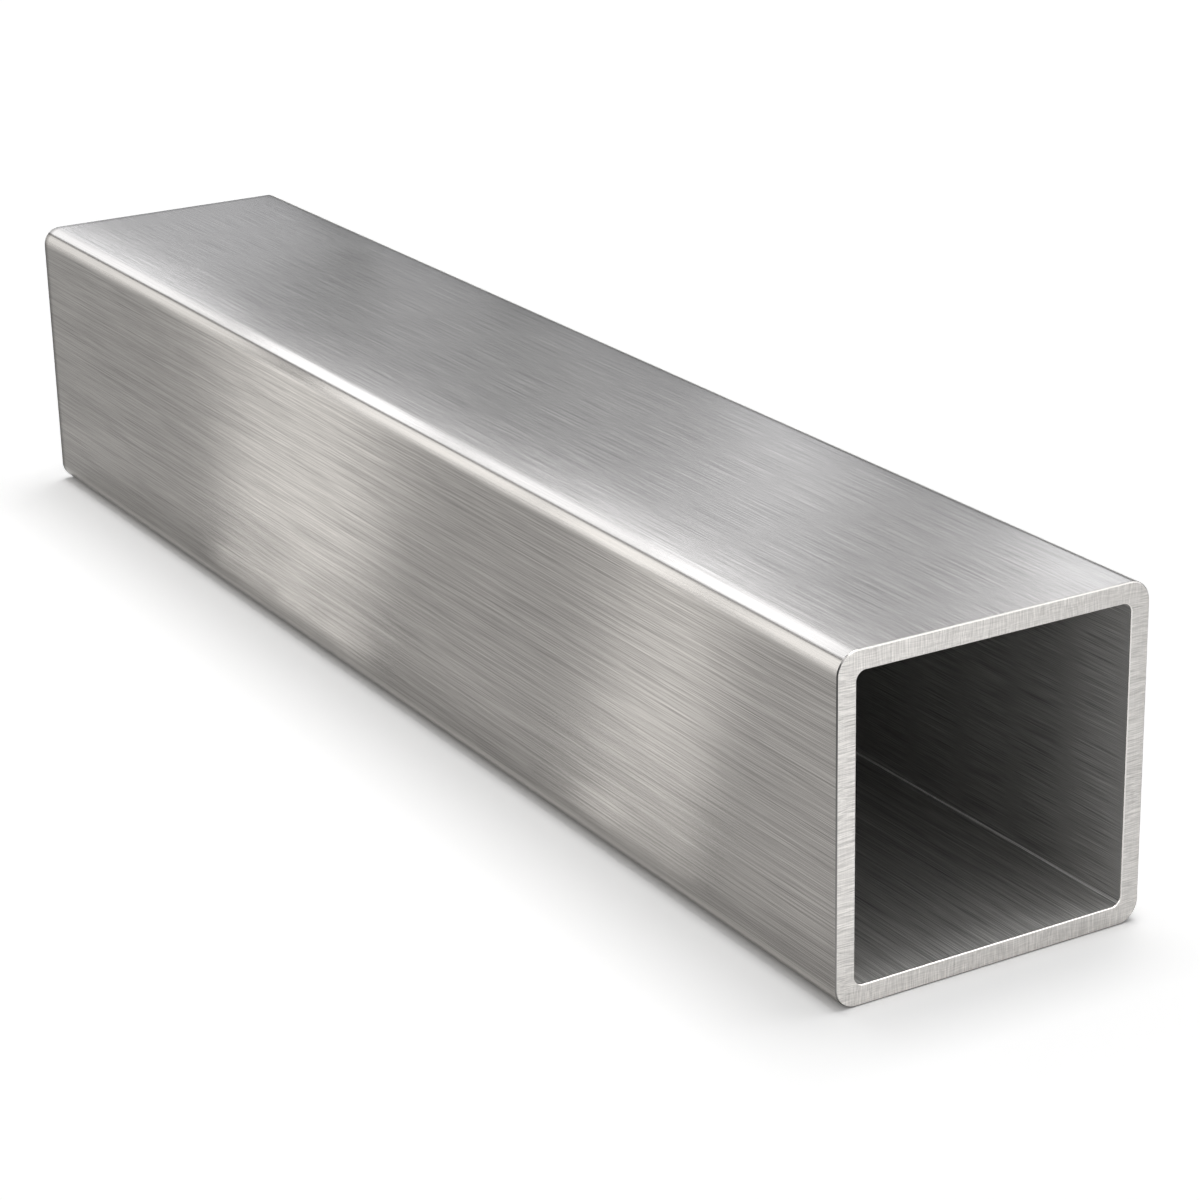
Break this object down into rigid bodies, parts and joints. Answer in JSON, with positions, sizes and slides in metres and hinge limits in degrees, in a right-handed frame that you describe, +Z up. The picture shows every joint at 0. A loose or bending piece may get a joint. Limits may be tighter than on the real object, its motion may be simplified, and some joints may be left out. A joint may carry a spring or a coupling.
{
  "type": "square metal tube",
  "caption": "Length of square hollow section in brushed stainless steel, open at both ends, with small rounded corners and square-cut, deburred ends.",
  "frame": {"origin": "on the ground below the middle of the tube: centre of the bottom of the bounding box", "axes": "+X along the tube, +Z up as it lies on a flat side, +Y across it"},
  "size_m": [0.265, 0.05, 0.05],
  "materials": {
    "brushed_steel": "brushed along the length outside, dull mill finish inside, finely sawn and deburred ends"
  },
  "bodies": {
    "root": {"square_tube": "brushed_steel"}
  },
  "joints": []
}
